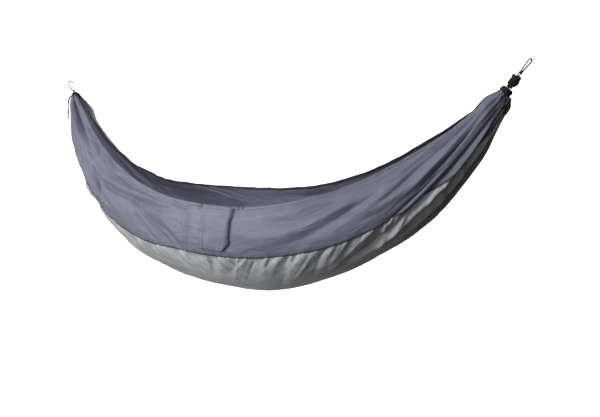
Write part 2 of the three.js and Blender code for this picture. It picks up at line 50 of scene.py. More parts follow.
camera_data = bpy.data.cameras.new("camera")
camera_data.lens = 36
camera_data.sensor_width = 36
camera_data.clip_end = 100
camera = bpy.data.objects.new("camera", camera_data)
bpy.context.scene.collection.objects.link(camera)
camera.location = CAMERA_PLACE
camera.rotation_euler = (math.pi / 2 + CAMERA_PITCH, 0, CAMERA_YAW)
bpy.context.scene.camera = camera


# ------------------------------------------------------------------ small tools
def add_object(name, data):
    obj = bpy.data.objects.new(name, data)
    bpy.context.scene.collection.objects.link(obj)
    return obj


def mesh_object(name, points, faces, uv=None, smooth=True):
    mesh = bpy.data.meshes.new(name)
    mesh.from_pydata([tuple(p) for p in points], [], [tuple(f) for f in faces])
    if uv is not None:
        layer = mesh.uv_layers.new(name="cloth")
        loops = np.zeros(len(mesh.loops), np.int32)
        mesh.loops.foreach_get("vertex_index", loops)
        layer.data.foreach_set("uv", np.asarray(uv, np.float32)[loops].ravel())
    if smooth:
        mesh.polygons.foreach_set("use_smooth", np.ones(len(mesh.polygons), bool))
    mesh.update()
    return add_object(name, mesh)


def unit(v):
    return v / np.maximum(np.linalg.norm(v, axis=-1, keepdims=True), 1e-12)


def smooth_step(x):
    x = np.clip(x, 0, 1)
    return x * x * (3 - 2 * x)


def noise(x, y, seed):
    """Smooth value noise of two coordinates, from -1 to 1, the same on every run."""
    table = np.random.RandomState(seed).rand(64, 64) * 2 - 1
    x, y = np.broadcast_arrays(np.asarray(x, float), np.asarray(y, float))
    xi, yi = np.floor(x).astype(int), np.floor(y).astype(int)
    fx, fy = smooth_step(x - xi), smooth_step(y - yi)
    a = table[xi % 64, yi % 64]
    b = table[(xi + 1) % 64, yi % 64]
    c = table[xi % 64, (yi + 1) % 64]
    d = table[(xi + 1) % 64, (yi + 1) % 64]
    return (a * (1 - fx) + b * fx) * (1 - fy) + (c * (1 - fx) + d * fx) * fy


def grid_faces(rows, columns, closed_columns=False, offset=0, flip=False):
    faces = []
    last = columns if closed_columns else columns - 1
    for i in range(rows - 1):
        for j in range(last):
            k = (j + 1) % columns
            quad = (i * columns + j, i * columns + k, (i + 1) * columns + k, (i + 1) * columns + j)
            quad = tuple(offset + q for q in quad)
            faces.append(quad[::-1] if flip else quad)
    return faces


def grid_normals(p):
    return unit(np.cross(np.gradient(p, axis=1), np.gradient(p, axis=0)))


def thick_sheet(name, p, uv, thickness):
    """A closed sheet around a grid of middle points."""
    rows, columns = p.shape[:2]
    n = grid_normals(p)
    top = (p + n * thickness / 2).reshape(-1, 3)
    bottom = (p - n * thickness / 2).reshape(-1, 3)
    count = rows * columns
    faces = grid_faces(rows, columns, flip=True) + grid_faces(rows, columns, offset=count)
    edge = list(range(columns))
    edge += [i * columns + columns - 1 for i in range(1, rows)]
    edge += [(rows - 1) * columns + j for j in range(columns - 2, -1, -1)]
    edge += [i * columns for i in range(rows - 2, 0, -1)]
    for a, b in zip(edge, edge[1:] + edge[:1]):
        faces.append((a, b, count + b, count + a))
    return mesh_object(name, np.vstack([top, bottom]), faces, np.tile(uv.reshape(-1, 2), (2, 1)))


def catmull(points, per_segment):
    """A smooth line through the points."""
    p = np.asarray(points, float)
    p = np.vstack([2 * p[0] - p[1], p, 2 * p[-1] - p[-2]])
    out = []
    for i in range(1, len(p) - 2):
        a, b, c, d = p[i - 1], p[i], p[i + 1], p[i + 2]
        for k in range(per_segment):
            t = k / per_segment
            squared = (2 * a - 5 * b + 4 * c - d) * t * t
            out.append(0.5 * (2 * b + (c - a) * t + squared + (3 * b - a - 3 * c + d) * t ** 3))
    out.append(p[-2])
    return np.array(out)


def run_length(line):
    """Distance along a line of points, at each of them."""
    return np.concatenate([[0], np.cumsum(np.linalg.norm(np.diff(line, axis=0), axis=1))])


def tube_faces(rows, columns):
    """Faces of a closed tube with filled ends."""
    ends = [tuple(range(columns))[::-1], tuple((rows - 1) * columns + j for j in range(columns))]
    return grid_faces(rows, columns, closed_columns=True) + ends


def swept_mesh(path, profile, up=None, radius_scale=None):
    """A closed tube, its outline carried along a path without twisting; up fixes the outline's y where given."""
    path = np.asarray(path, float)
    tangent = unit(np.gradient(path, axis=0))
    if up is None:
        up = np.zeros_like(path)
        up[0] = unit(np.cross(tangent[0], [0.31, 0.17, 0.93]))  # any direction that no path starts in
        for i in range(1, len(path)):
            up[i] = unit(up[i - 1] - tangent[i] * up[i - 1].dot(tangent[i]))
    up = unit(up - tangent * np.sum(up * tangent, axis=1, keepdims=True))
    side = np.cross(tangent, up)
    scale = (np.ones(len(path)) if radius_scale is None else radius_scale)[:, None, None]
    x, y = profile[None, :, 0, None], profile[None, :, 1, None]
    rings = path[:, None] + scale * x * side[:, None] + scale * y * up[:, None]
    rows, columns = rings.shape[:2]
    around = np.arange(columns) / columns
    uv = np.stack(np.broadcast_arrays(around[None, :], run_length(path)[:, None]), -1)
    return rings.reshape(-1, 3), tube_faces(rows, columns), uv.reshape(-1, 2)


def round_profile(radius, sides=12):
    a = 2 * np.pi * np.arange(sides) / sides
    return np.stack([radius * np.cos(a), radius * np.sin(a)], 1)


def join_parts(name, parts):
    """One mesh object from several (points, faces, uv) parts."""
    points, faces, uvs, offset = [], [], [], 0
    for p, f, uv in parts:
        points.append(p)
        uvs.append(uv)
        faces += [tuple(i + offset for i in face) for face in f]
        offset += len(p)
    return mesh_object(name, np.vstack(points), faces, np.vstack(uvs))


def dress(obj, finish, replaced=None):
    """Gives a soft piece its material and its body, and hides the CAD node that it stands in for."""
    obj.data.materials.append(finish)
    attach(obj, BODY)
    if replaced:
        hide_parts(replaced)
    return obj


# ------------------------------------------------------------------ materials
def new_material(name, inputs):
    material = bpy.data.materials.new(name)
    material.use_nodes = True
    tree = material.node_tree
    shader = tree.nodes["Principled BSDF"]
    for socket, value in inputs.items():
        shader.inputs[socket].default_value = value
    return material, tree, shader


def node(tree, kind, **settings):
    n = tree.nodes.new("ShaderNode" + kind)
    for key, value in settings.items():
        if hasattr(n, key):
            setattr(n, key, value)
        else:
            n.inputs[key].default_value = value
    return n


def math_node(tree, operation, a, b=None):
    n = node(tree, "Math", operation=operation)
    for socket, value in zip(n.inputs, (a, b)):
        if isinstance(value, (int, float)):
            socket.default_value = value
        elif value is not None:
            tree.links.new(value, socket)
    return n.outputs[0]


def ramp(tree, factor, stops):
    n = node(tree, "ValToRGB")
    tree.links.new(factor, n.inputs["Fac"])
    elements = n.color_ramp.elements
    while len(elements) < len(stops):
        elements.new(0.5)
    for element, (place, color) in zip(elements, stops):
        element.position = place
        element.color = (*color, 1)
    return n.outputs["Color"]


def cloth_coordinates(tree):
    """The mesh's own two coordinates."""
    split = node(tree, "SeparateXYZ")
    tree.links.new(node(tree, "UVMap", uv_map="cloth").outputs["UV"], split.inputs[0])
    return split.outputs["X"], split.outputs["Y"]


def noise_node(tree, scale, detail, roughness=0.5, distortion=0.0, at=None):
    """Noise at the pair of coordinates, or in the piece's own space."""
    n = node(tree, "TexNoise", Scale=scale, Detail=detail, Roughness=roughness, Distortion=distortion)
    if at is None:
        place = node(tree, "TexCoord").outputs["Object"]
    else:
        pair = node(tree, "CombineXYZ")
        tree.links.new(at[0], pair.inputs[0])
        tree.links.new(at[1], pair.inputs[1])
        place = pair.outputs[0]
    tree.links.new(place, n.inputs["Vector"])
    return n.outputs["Fac"]


def bump(tree, height, strength, distance, under=None):
    n = node(tree, "Bump", Strength=strength, Distance=distance)
    tree.links.new(height, n.inputs["Height"])
    if under is not None:
        tree.links.new(under, n.inputs["Normal"])
    return n.outputs["Normal"]


def cloth_material(name, dark, light, roughness, sheen, weave, crinkle, across=0.0):
    """Thin woven nylon: two thread directions, a fine dry crinkle along the pull, and slow shifts of tone."""
    material, tree, shader = new_material(
        name, {"Sheen Weight": sheen, "Sheen Roughness": 0.4, "Specular IOR Level": 0.4})
    maths = partial(math_node, tree)
    times, plus = partial(maths, "MULTIPLY"), partial(maths, "ADD")
    u, v = cloth_coordinates(tree)
    warp = maths("SINE", times(u, 2 * math.pi / weave))
    weft = maths("SINE", times(v, 2 * math.pi / weave))
    thread = times(warp, weft)
    nearest_rib = maths("MINIMUM", maths("PINGPONG", u, RIB_SPACING), maths("PINGPONG", v, RIB_SPACING))
    rib = maths("LESS_THAN", nearest_rib, RIB_WIDTH)
    creases = noise_node(tree, 1.0, 6.0, 0.62, 0.8, at=(times(u, 9), times(v, 34)))
    tone = noise_node(tree, 4.0, 3.0)
    fine = noise_node(tree, 170.0, 3.0, 0.6)
    # the crease noise also darkens the colour in the crinkle's hollows: painted shade in the creases, beside the
    # cloth's random tone and weave
    tone_and_crease_shade = plus(plus(times(tone, 0.6), times(creases, 0.4)), times(thread, 0.035))
    tree.links.new(ramp(tree, tone_and_crease_shade, [(0.3, dark), (0.7, light)]), shader.inputs["Base Color"])
    tree.links.new(plus(roughness - 0.06, times(fine, 0.12)), shader.inputs["Roughness"])
    normal = bump(tree, plus(thread, rib), 0.22, 0.0002)
    normal = bump(tree, creases, crinkle, 0.006, normal)
    if across:
        # creases that run across, drawn by the seams
        from_keel = maths("ABSOLUTE", v)
        drawn = noise_node(tree, 1.0, 4.0, 0.55, 0.6, at=(plus(times(u, 52), times(from_keel, 30)), times(v, 8)))
        near_seam = maths("MINIMUM", times(from_keel, 2.6), 1.0)
        normal = bump(tree, times(drawn, near_seam), across, 0.008, normal)
    tree.links.new(normal, shader.inputs["Normal"])
    return material


def rope_material(name, dark, light, strands, pitch):
    """Braided cord: crossing strands in the cord's own coordinates, with a painted highlight on their crowns and
    painted shade between them.
    """
    material, tree, shader = new_material(name, {"Sheen Weight": 0.03, "Specular IOR Level": 0.35})
    maths = partial(math_node, tree)
    times, plus = partial(maths, "MULTIPLY"), partial(maths, "ADD")
    u, v = cloth_coordinates(tree)
    u, v = times(u, 2 * math.pi * strands), times(v, 2 * math.pi / pitch)
    braid = maths("MAXIMUM", maths("SINE", plus(u, v)), maths("SINE", maths("SUBTRACT", u, v)))
    fuzz = noise_node(tree, 900.0, 2.0)
    height = plus(braid, times(fuzz, 0.6))
    # colour follows the strands' height: painted highlight on the crowns, painted shade in the hollows between strands
    color = ramp(tree, times(height, 0.6), [(0.1, dark), (0.9, light)])
    tree.links.new(color, shader.inputs["Base Color"])
    tree.links.new(plus(0.72, times(fuzz, 0.2)), shader.inputs["Roughness"])
    tree.links.new(bump(tree, height, 0.7, 0.0007), shader.inputs["Normal"])
    return material


def thread_material(name, color):
    material, tree, shader = new_material(name, {"Roughness": 0.6})
    shades = ramp(tree, noise_node(tree, 1400.0, 2.0), [(0.3, tuple(c * 0.7 for c in color)), (0.7, color)])
    tree.links.new(shades, shader.inputs["Base Color"])
    return material


def steel_material(name, color, roughness, scratch_scale):
    """Polished steel wire with fine drawing lines, faint dulling and small scratches."""
    material, tree, shader = new_material(name, {"Metallic": 1.0})
    haze = noise_node(tree, 90.0, 4.0, 0.6)
    lines = noise_node(tree, scratch_scale, 5.0, 0.75)
    shades = ramp(tree, haze, [(0.25, tuple(c * 0.8 for c in color)), (0.75, color)])
    tree.links.new(shades, shader.inputs["Base Color"])
    rough = math_node(tree, "ADD", roughness - 0.05, math_node(tree, "MULTIPLY", haze, 0.14))
    tree.links.new(rough, shader.inputs["Roughness"])
    tree.links.new(bump(tree, lines, 0.08, 0.0003), shader.inputs["Normal"])
    return material


RIB_SPACING, RIB_WIDTH = 0.004, 0.00035  # the cloth's thicker threads
SLATE = cloth_material("slate_cloth", (0.092, 0.094, 0.132), (0.130, 0.132, 0.182), 0.5, 0.1, 0.0011, 0.9)
SILVER = cloth_material("silver_cloth", (0.275, 0.284, 0.298), (0.372, 0.382, 0.398), 0.36, 0.1, 0.0011, 0.55, 1.0)
# a darker copy of the slate cloth: painted shade for the far rim's hem
SHADED_SLATE = cloth_material("slate_painted_shade", (0.050, 0.052, 0.070), (0.072, 0.074, 0.100), 0.55, 0.05, 0.0013, 0.1)
# dark seam tape; the same dark cloth serves as painted shade on the pocket's turned-under edges
SEAM_TAPE_AND_GAP_SHADE = cloth_material("seam_tape_and_painted_gap_shade", (0.030, 0.031, 0.042), (0.048, 0.049, 0.066), 0.6, 0.02, 0.0013, 0.1)
ROPE = rope_material("black_braid", (0.003, 0.003, 0.0035), (0.034, 0.034, 0.037), 4, 0.0042)
THREAD = thread_material("slate_thread", (0.035, 0.036, 0.050))
STEEL = steel_material("polished_steel", (0.62, 0.63, 0.64), 0.2, 700)
SPRING_STEEL = steel_material("spring_steel", (0.5, 0.5, 0.5), 0.3, 900)


# ------------------------------------------------------------------ loose rope tail at the head
TAIL_ROUTE_MM = [
    (-32.2, -13.7, -10.3), (-35.4, -16.3, -12), (-41, -20, -17), (-46, -22, -27), (-50, -24, -41),
    (-53, -25, -57), (-56, -26, -74), (-58, -27, -91), (-59, -28, -107), (-59, -29, -121),
    (-56, -31, -133), (-49, -33, -138), (-43, -35, -131), (-41, -36, -119), (-41, -37, -105),
    (-41, -37, -90), (-41, -37, -75), (-41, -37, -60), (-40, -37, -45), (-38, -36, -31),
    (-36, -34, -20), (-32, -30, -12.5), (-28.4, -23.8, -8.4), (-26.2, -19.7, -7.1),
]
TAIL_DIAMETER = 0.004
tail_line = catmull(HEAD_GATHER + np.array(TAIL_ROUTE_MM) / 1000, 5)
tail = mesh_object("head_tail_cord", *swept_mesh(tail_line, round_profile(TAIL_DIAMETER / 2, 12)))
dress(tail, ROPE, "head_rope_tail")

# ------------------------------------------------------------------ the hung cloth, as the CAD hangs it
CHORD = 2.4
NEAR_SAG, FAR_SAG = 0.518, 0.502
NEAR_SKEW, FAR_SKEW = 0.03, 0.27
NEAR_POWER, FAR_POWER = 2.35, 3.4
BELLY_DEPTH, DEPTH_POWER = 0.467, 1.09
BELLY_HALF, RIM_HALF = 0.304, 0.855 * 0.304
BELLY_POWER, RIM_POWER = 1.22, 2.15
SEAM_SHARE, SEAM_END_SHARE = 0.5, 0.37
HEAD_TILT, FOOT_TILT, TILT_POWER = 15, 12, 1.5
BUNDLE_HALF, BUNDLE_DEPTH, BUNDLE_RIM, BUNDLE_LENGTH = 0.020, 0.032, 0.8 * 0.020, 0.13
PULL = {-1: 62, 1: 54}
PULL_LINE_SHARE = 0.47


def section(theta):
    t, s = -np.cos(theta), np.sin(theta)
    skew = lambda k: t + k * (1 - t * t)
    near = NEAR_SAG * (1 - np.abs(skew(NEAR_SKEW)) ** NEAR_POWER)
    far = FAR_SAG * (1 - np.abs(skew(FAR_SKEW)) ** FAR_POWER)
    belly = BUNDLE_HALF + (BELLY_HALF - BUNDLE_HALF) * s ** BELLY_POWER
    rim = BUNDLE_RIM + (RIM_HALF - BUNDLE_RIM) * s ** RIM_POWER
    rim_angle = np.pi - np.arcsin(rim / belly)
    depth = BUNDLE_DEPTH + (BELLY_DEPTH - BUNDLE_DEPTH) * s ** DEPTH_POWER
    share = SEAM_SHARE + SEAM_END_SHARE * t * t
    seam_angle = np.arccos(1 - (1 - share) * (1 - np.cos(rim_angle)))
    end = np.where(t < 0, -1, 1)
    pull = np.where(t < 0, PULL[-1], PULL[1])
    swing = np.where(t < 0, HEAD_TILT, FOOT_TILT) * np.abs(t) ** TILT_POWER
    bundle = np.exp(-((s / BUNDLE_LENGTH) ** 2))
    tilt = -end * (swing + (pull - swing) * bundle) * DEG
    return t, s, near, far, belly, rim_angle, depth, seam_angle, tilt


def hung(theta, phi):
    """The smooth hung surface: theta along, phi round the section from the keel."""
    t, _, near, far, belly, rim_angle, depth, _, tilt = section(theta)
    below = 1 - (1 - np.cos(phi)) / (1 - np.cos(rim_angle))
    middle = (near + far) / 2
    side = np.where(phi < 0, near, far)
    sag = middle + (side - middle) * (1 - below)
    drop = depth * below
    p = np.stack([CHORD / 2 * (1 + t) - drop * np.sin(tilt), belly * np.sin(phi), -sag - drop * np.cos(tilt)], -1)
    return p + HEAD_GATHER


def hung_normal(theta, phi):
    """Outward normal of the smooth surface."""
    step = 1e-4
    inner = np.clip(theta, step, np.pi - step)
    along = hung(inner + step, phi) - hung(inner - step, phi)
    around = hung(inner, phi + step) - hung(inner, phi - step)
    return unit(np.cross(around, along))


GATHERS = {-1: HEAD_GATHER, 1: HEAD_GATHER + np.array([CHORD, 0, 0])}
PLEATS = 15

# Folds of the cloth: height (below 0 goes inwards) and half width in millimetres, then its course as
# (t, w) places in thousandths. t runs from -1 at the head gather to 1 at the foot gather, w from -1
# at the near rim through 0 at the keel to 1 at the far rim.
FOLDS = [
    # near side, head end
    (-25, 24, [(-985, -880), (-930, -890), (-860, -880), (-780, -900)]),
    (23, 22, [(-980, -990), (-910, -1000), (-820, -1000)]),
    (15, 24, [(-970, -740), (-860, -780), (-740, -820)]),
    (-17, 26, [(-970, -620), (-820, -640), (-660, -680)]),
    (-17, 13, [(-720, -760), (-680, -700), (-650, -660)]),
    (-13, 12, [(-700, -700), (-640, -660), (-570, -640)]),
    (13, 15, [(-740, -700), (-660, -640), (-580, -600)]),
    (-19, 20, [(-960, -440), (-800, -460), (-620, -500)]),
    (13, 20, [(-950, -540), (-800, -550), (-640, -580)]),
    (-19, 15, [(-660, -750), (-560, -800), (-460, -850), (-340, -880), (-200, -900)]),
    (13, 16, [(-620, -830), (-500, -890), (-360, -930), (-200, -940)]),
    (-12, 10, [(-580, -930), (-440, -955), (-280, -965)]),
    (-20, 36, [(-440, -850), (-330, -780), (-240, -680), (-160, -600)]),
    (-12, 10, [(-420, -760), (-340, -680), (-270, -600)]),
    (-13, 11, [(-370, -800), (-280, -700), (-210, -610)]),
    (9, 12, [(-390, -840), (-310, -750), (-220, -660)]),
    (-12, 10, [(-260, -760), (-190, -670), (-140, -590)]),
    (9, 12, [(-290, -860), (-200, -760), (-140, -680)]),
    (-10, 9, [(-130, -930), (-118, -800), (-122, -640)]),
    (7, 12, [(-155, -940), (-142, -820), (-150, -680)]),
    (-9, 8, [(-220, -965), (-150, -955), (-90, -975)]),
    # drawn places at the rim beside the pocket's mouth
    (-12, 7, [(-74, -1010), (-80, -985), (-92, -965)]),
    (-10, 6, [(100, -1010), (102, -985), (106, -965)]),
    (-9, 6, [(122, -1010), (120, -985), (118, -970)]),
    # near side, foot end
    (-19, 24, [(960, -900), (880, -860), (790, -790), (700, -710), (610, -650)]),
    (13, 24, [(960, -990), (840, -930), (720, -850), (580, -790)]),
    (-10, 18, [(920, -1000), (800, -960), (670, -935), (540, -930)]),
    (13, 28, [(950, -760), (850, -680), (750, -610), (660, -570)]),
    (-10, 14, [(930, -660), (840, -580), (760, -540)]),
    (-9, 32, [(640, -800), (500, -740), (360, -690), (180, -660)]),
    (-7, 28, [(500, -880), (320, -840), (120, -840)]),
    (6, 28, [(540, -820), (360, -770), (140, -750)]),
    (6, 20, [(460, -950), (300, -920), (120, -930)]),
    # the foot flank, hanging in long sharp folds
    (-22, 20, [(970, -480), (860, -440), (720, -400), (580, -330), (400, -250)]),
    (16, 18, [(960, -400), (840, -360), (700, -320), (520, -240)]),
    (-18, 16, [(960, -320), (830, -290), (680, -250), (480, -160)]),
    (14, 17, [(960, -230), (820, -210), (660, -170), (460, -80)]),
    (-18, 17, [(960, -130), (820, -110), (640, -80), (460, 20)]),
    (13, 20, [(960, -30), (820, -10), (600, 30)]),
    (-14, 22, [(960, 90), (800, 100), (560, 140)]),
    (-8, 11, [(840, -530), (750, -500), (660, -460), (540, -390)]),
    (6, 11, [(800, -490), (700, -450), (580, -380)]),
    (-6, 10, [(720, -440), (620, -410), (480, -330)]),
    # keel and far side
    (-12, 28, [(-960, -300), (-760, -280), (-500, -220)]),
    (9, 26, [(-960, -120), (-740, -100), (-520, -60)]),
    (-12, 30, [(-960, 140), (-720, 140), (-480, 160)]),
    (-10, 30, [(-960, 440), (-720, 440), (-460, 440)]),
    (9, 26, [(-970, 700), (-700, 720), (-400, 780)]),
    (-11, 18, [(-960, 860), (-740, 880), (-520, 900)]),
    (-10, 30, [(960, 340), (720, 360), (420, 420)]),
    (9, 28, [(970, 620), (720, 650), (420, 720)]),
    (-10, 22, [(960, 820), (740, 840), (500, 880)]),
    (9, 12, [(-440, 980), (-330, 930), (-220, 860)]),
    (8, 11, [(-360, 990), (-260, 940), (-160, 900)]),
    (-6, 12, [(-400, 950), (-290, 890), (-180, 840)]),
    (6, 18, [(100, 920), (340, 900), (580, 930)]),
    (-6, 30, [(-200, 760), (100, 740), (500, 700)]),
]

PUCKERS = 112  # creases drawn by the seam thread into the centre panel, at each seam
PLACE_SCALE = np.array([1.5, 0.68])  # turns (t, w) into rough metres along and across the cloth


def lift(theta, phi):
    """How far the real cloth stands off the smooth surface, outwards, in metres."""
    t, s, _, _, belly, rim_angle, depth, seam_angle, _ = section(theta)
    w = phi / rim_angle
    base = hung(theta, phi)
    total = np.zeros(np.broadcast(theta, phi).shape)
    half_arc = (belly + depth) * 0.85
    flat_x, flat_y = PLACE_SCALE[0] * t, PLACE_SCALE[1] * w

    # pleats that run out of each gather
    rng = np.random.RandomState(11)
    for end in (-1, 1):
        g = np.linalg.norm(base - GATHERS[end], axis=-1)
        for i in range(PLEATS):
            place = -1 + 2 * (i + 0.5 + 0.5 * (rng.rand() - 0.5)) / PLEATS
            reach = 0.16 + 0.55 * rng.rand() ** 2
            height = 0.0085 * (0.6 + 0.6 * rng.rand())
            drift = 0.10 * (rng.rand() - 0.5)
            across = (w - place - drift * np.minimum(g, 1.0)) * PLEATS * 0.92
            wave = np.exp(-np.abs(across) ** 1.7) - 0.42
            local = np.minimum(height, 0.36 * half_arc / PLEATS * 2.2)
            mask = np.exp(-((across / 1.6) ** 2))
            total += local * wave * mask * np.exp(-((g / reach) ** 1.4)) * smooth_step(g / 0.012)

    # folds
    narrow = 0.30 + 0.70 * np.minimum(1, half_arc / 0.55)
    for height, width, course in FOLDS:
        height, width, points = height / 1000, width / 1000, np.array(course) / 1000 * PLACE_SCALE
        steps = np.linalg.norm(np.diff(points, axis=0), axis=1)
        start = run_length(points)
        nearest = np.full(total.shape, 9.0)
        place = np.zeros(total.shape)
        for k, length in enumerate(steps):
            direction = (points[k + 1] - points[k]) / length
            x, y = flat_x - points[k, 0], flat_y - points[k, 1]
            held = np.clip(x * direction[0] + y * direction[1], 0, length)
            off = np.hypot(x - held * direction[0], y - held * direction[1])
            better = off < nearest
            nearest = np.where(better, off, nearest)
            place = np.where(better, start[k] + held, place)
        share = place / start[-1]
        wander = 1 + 0.25 * noise(share * 4, height * 900, 5)
        fade = smooth_step((share + 0.12) / 0.22) * smooth_step((1.06 - share) / 0.5)
        total += height * narrow * wander * np.exp(-np.abs(nearest / width) ** 1.5) * fade

    # the seam thread draws the middle panel up into creases, the side panels hardly
    rng = np.random.RandomState(23)
    for side in (-1, 1):
        distance = (seam_angle - phi * side) * belly * 1.08
        inside = smooth_step(distance / 0.012 + 0.2)
        depth_in = np.maximum(distance, 0)
        for i in range(PUCKERS):
            place = PLACE_SCALE[0] * (-0.93 + 1.86 * (i + 0.8 * rng.rand()) / PUCKERS)
            head_side = place < 0.16
            lean = 0.85 if head_side else -0.95
            lean *= 0.5 + 1.0 * rng.rand()
            reach = 0.04 + 0.16 * rng.rand() ** 1.5
            width = 0.0055 + 0.0050 * rng.rand()
            height = (0.0040 + 0.0055 * rng.rand()) * (1 if rng.rand() < 0.42 else -1)
            bow = 0.25 * (rng.rand() - 0.5)
            height *= 1.7 if head_side else 1.0
            off = flat_x - place - lean * depth_in - bow * np.sin(depth_in * 18) * 0.06
            grown = width * (1 + depth_in / reach)
            tapered = np.exp(-((depth_in / reach) ** 2)) * (0.25 + 0.75 * smooth_step(depth_in / 0.018))
            strength = tapered * inside + 0.22 * np.exp(-np.abs(distance) / 0.012) * (1 - inside)
            total += height * strength * np.exp(-np.abs(off / grown) ** 1.6) * np.minimum(1, s * 1.4)
        slanted = flat_x - 0.6 * depth_in * np.sign(-flat_x - 0.05)
        wide = np.sin(2 * np.pi * slanted / 0.17 + 3 * noise(flat_x * 3, 14 + side, 51))
        wide *= np.exp(-((depth_in / 0.15) ** 2)) * smooth_step(depth_in / 0.03) * np.minimum(1, s * 1.3)
        total += 0.005 * inside * wide

    # shoulders where the cloth swells out below the binding
    middle_of = np.where(t > 0, 0.968, 0.974)
    reach_of = np.where(t > 0, 0.026, 0.018)
    shoulder = np.exp(-(((np.abs(t) - middle_of) / reach_of) ** 2)) * smooth_step((np.abs(w) - 0.45) / 0.35)
    total += np.where(t > 0, 0.016, np.where(w > 0, 0.017, 0.007)) * shoulder

    # the head end is more crumpled than the foot end
    crumple = smooth_step((-0.42 - t) / 0.3) * np.minimum(1, s * 1.6)
    total += 0.0050 * crumple * noise(flat_x * 13 + 4 * flat_y, flat_y * 22 - 3 * flat_x, 75)
    total += 0.0024 * crumple * noise(flat_x * 30 + 9 * flat_y, flat_y * 44, 76)

    # slack in between: long in the pull's direction
    spread = np.minimum(1, s * 1.2)
    total += 0.0060 * noise(flat_x * 1.7 + 3, flat_y * 6 + 1.3 * flat_x, 61) * spread
    total += 0.0036 * noise(flat_x * 4 - 2, flat_y * 15 - 2.0 * flat_x, 62) * spread
    total += 0.0019 * noise(flat_x * 9 + 6 * flat_y, flat_y * 34 - 5 * flat_x, 63) * spread
    total += 0.0010 * noise(flat_x * 22 - 9 * flat_y, flat_y * 60 + 8 * flat_x, 64) * spread
    # a drawn rim: the hem gathers the edge a little
    rim_distance = (1 - np.abs(w)) * half_arc
    total += 0.0022 * noise(flat_x * 22, np.sign(w) * 3, 71) * np.exp(-rim_distance / 0.03) * spread
    return total


def cloth(theta, phi, stand_off=0.0):
    theta, phi = np.broadcast_arrays(np.asarray(theta, float), np.asarray(phi, float))
    n = hung_normal(theta, phi)
    return hung(theta, phi) + n * (lift(theta, phi) + stand_off)[..., None]


LONG_STEPS = 640
theta_line = np.linspace(0.0, np.pi, LONG_STEPS + 1)
all_sections = section(theta_line)
rim_line, seam_line = all_sections[5], all_sections[7]
SEAM_GAP = 0.00015
PANEL_THICKNESS = 0.0008


def gap_angle(theta, phi):
    step = 1e-4
    arc = np.linalg.norm(hung(theta, phi + step) - hung(theta, phi - step), axis=-1) / (2 * step)
    return SEAM_GAP / arc


def flat_uv(p):
    """Distances along and across the sheet, in metres, so that the weave keeps its scale."""
    middle = p.shape[1] // 2
    across = np.zeros(p.shape[:2])
    along = np.broadcast_to(run_length(p[:, middle])[:, None], across.shape)
    across[:, 1:] = np.cumsum(np.linalg.norm(np.diff(p, axis=1), axis=2), axis=1)
    across -= across[:, middle:middle + 1]
    return np.stack([along, across], -1)


def panel(name, from_phi, to_phi, steps, finish, replaced):
    share = np.linspace(0, 1, steps + 1)[None, :]
    phi = from_phi[:, None] + (to_phi - from_phi)[:, None] * share
    theta = np.repeat(theta_line[:, None], steps + 1, axis=1)
    p = cloth(theta, phi)
    obj = thick_sheet(name, p, flat_uv(p), PANEL_THICKNESS)
    return dress(obj, finish, replaced), hung(theta, phi)


gap = gap_angle(theta_line, seam_line)
near_panel, near_grid = panel(
    "near_side_cloth", -rim_line, -(seam_line + gap), 60, SLATE, "near_side_panel")
centre_panel, centre_grid = panel(
    "centre_cloth", -(seam_line - gap), seam_line - gap, 77, SILVER, "centre_panel")
far_panel, far_grid = panel(
    "far_side_cloth", seam_line + gap, rim_line, 60, SLATE, "far_side_panel")


# ------------------------------------------------------------------ stitches, hems and seams
STITCH_PITCH, STITCH_LENGTH, STITCH_RADIUS = 0.0042, 0.0032, 0.00038


def stitches(line, up):
    """A row of short raised threads along a line of points."""
    at = run_length(line)
    count = int(at[-1] / STITCH_PITCH)
    centres = (np.arange(count) + 0.5) * STITCH_PITCH
    read = lambda places, values: np.stack([np.interp(places, at, values[:, k]) for k in range(3)], 1)
    c = read(centres, line)
    n = unit(read(centres, up))
    d = unit(read(centres + 1e-3, line) - c)
    side = unit(np.cross(d, n))
    rings = []
    for share, scale, rise in ((-0.5, 0.25, -0.2), (-0.3, 1.0, 0.5), (0.3, 1.0, 0.5), (0.5, 0.25, -0.2)):
        for a in range(4):
            x, y = math.cos(a * math.pi / 2), math.sin(a * math.pi / 2)
            rings.append(c + d * share * STITCH_LENGTH + (side * x * scale + n * (y * scale + rise)) * STITCH_RADIUS)
    p = np.stack(rings, 1).reshape(-1, 3)
    base = tube_faces(4, 4)
    faces = [tuple(16 * k + i for i in face) for k in range(count) for face in base]
    return p, faces, np.zeros((len(p), 2))


def path_frames(line_theta, line_phi):
    """Displaced points and outward normals along a line on the cloth."""
    p = cloth(line_theta, line_phi)
    step = 2e-3
    inner = np.clip(line_theta, step, np.pi - step)
    along = cloth(inner + step, line_phi) - cloth(inner - step, line_phi)
    around = cloth(inner, line_phi + step) - cloth(inner, line_phi - step)
    return p, unit(np.cross(around, along))


def capsule_band(width, thickness, sides=4):
    """Outline of a flat tape with rounded edges, x across and y up."""
    x, r = width / 2 - thickness / 2, thickness / 2
    turns = [(side, -side * math.pi / 2 + math.pi * k / sides) for side in (1, -1) for k in range(sides + 1)]
    return np.array([(side * x + r * math.cos(a), r * math.sin(a)) for side, a in turns])


def band_object(name, swept, girth):
    """The object of a swept band, its weave running along it."""
    points, faces, uv = swept
    return mesh_object(name, points, faces, np.stack([uv[:, 1], uv[:, 0] * girth], 1))


def end_taper(count, over, least):
    """Share of its full size along a band that thins towards both ends."""
    i = np.arange(count)
    return smooth_step(np.minimum(i, i[::-1]) / over + least)


